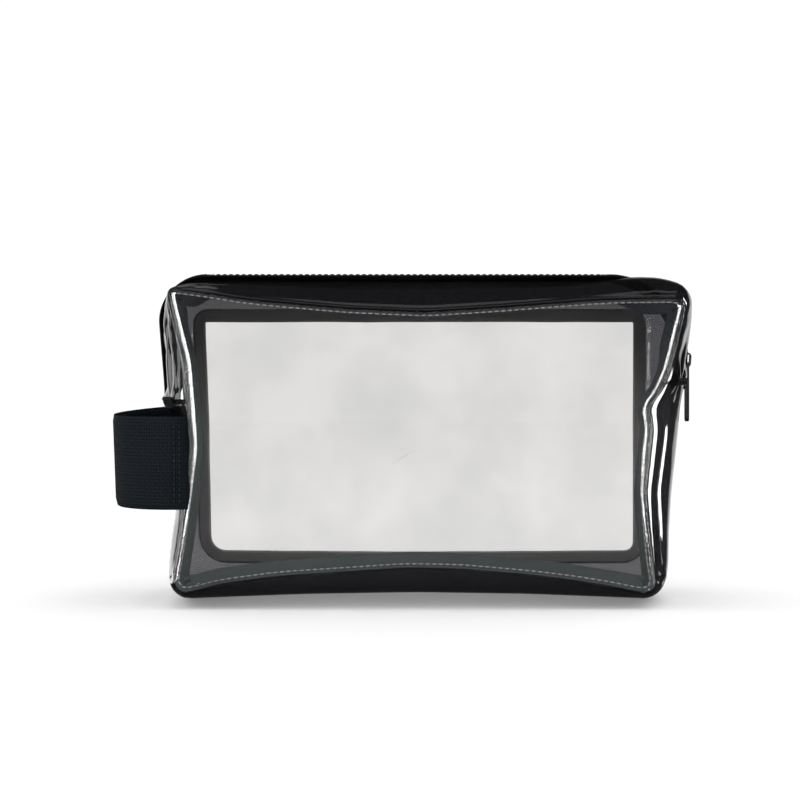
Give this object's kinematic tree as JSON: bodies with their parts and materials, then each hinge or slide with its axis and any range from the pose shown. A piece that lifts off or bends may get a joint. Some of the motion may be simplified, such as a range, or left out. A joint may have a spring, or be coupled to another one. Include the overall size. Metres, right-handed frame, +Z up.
{
  "type": "makeup bag",
  "caption": "Boxy zipped pouch with clear front and back panels, smoky film sides, a curved zipper with a pull tab, and a webbing loop handle on one end.",
  "frame": {"origin": "middle of the flat base that the bag stands on", "axes": "+X along the bag towards the closed end of the zipper, +Y from the front panel to the back panel, +Z up"},
  "size_m": [0.2408, 0.0816, 0.1337],
  "materials": {
    "clear_film": "glossy clear PVC film",
    "smoke_film": "glossy smoke-black PVC film",
    "binding_tape": "woven binding tape",
    "end_tab_cloth": "woven tape",
    "webbing": "plain woven webbing",
    "seam_thread": "twisted thread",
    "handle_thread": "twisted thread",
    "zipper_tape_cloth": "woven zipper tape",
    "zipper_nylon": "satin nylon coil",
    "slider_metal": "dark gunmetal plating"
  },
  "bodies": {
    "bag": {"back_binding": "binding_tape", "back_panel": "clear_film", "back_seam_thread": "seam_thread", "end_tab_left": "end_tab_cloth", "end_tab_right": "end_tab_cloth", "front_binding": "binding_tape", "front_panel": "clear_film", "front_seam_thread": "seam_thread", "handle_tack_back": "handle_thread", "handle_tack_front": "handle_thread", "handle_webbing": "webbing", "lower_gusset": "smoke_film", "zipper_coil_back": "zipper_nylon", "zipper_coil_front": "zipper_nylon", "zipper_strip_back": "smoke_film", "zipper_strip_front": "smoke_film", "zipper_tape_back": "zipper_tape_cloth", "zipper_tape_front": "zipper_tape_cloth", "zipper_thread_back": "seam_thread", "zipper_thread_front": "seam_thread"},
    "slider": {"slider_body": "slider_metal", "slider_crown": "slider_metal"},
    "pull": {"pull_tab": "slider_metal"}
  },
  "joints": [
    {"name": "slider_round_corner", "type": "hinge", "parent": "bag", "child": "slider", "pos_m": [0.07598, 0, 0.1013], "axis": [0, -1, 0], "range_deg": [0, 94.3]},
    {"name": "pull_swing", "type": "hinge", "parent": "slider", "child": "pull", "pos_m": [0.11007, 0, 0.09728], "axis": [0, -1, 0], "range_deg": [-6, 165]}
  ]
}
